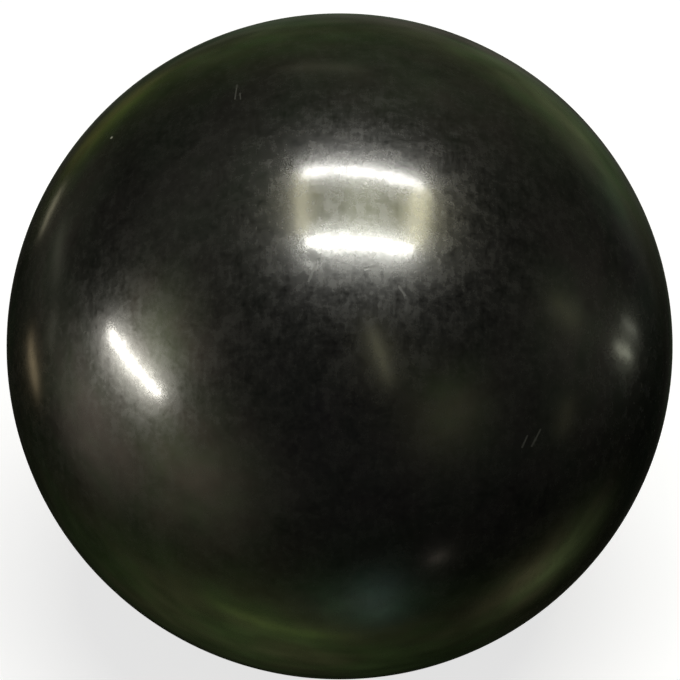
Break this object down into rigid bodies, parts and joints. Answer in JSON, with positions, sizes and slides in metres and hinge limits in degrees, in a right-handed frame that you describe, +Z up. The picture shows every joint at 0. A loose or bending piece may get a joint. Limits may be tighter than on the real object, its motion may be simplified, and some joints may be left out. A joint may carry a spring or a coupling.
{
  "type": "shungite sphere",
  "caption": "Plain polished ball of near-black shungite stone, turned and lapped round from one piece, with no bore, flat or stand.",
  "frame": {"origin": "centre of the ball", "axes": "+Z up; a ball is the same about every axis, and +Z is the line from its contact point on a stand, straight down, through its centre"},
  "size_m": [0.06, 0.06, 0.06],
  "materials": {
    "shungite": "lapped to a mirror gloss over a soft grey haze, with fine pits and faint hairline scratches"
  },
  "bodies": {
    "root": {"ball": "shungite"}
  },
  "joints": []
}
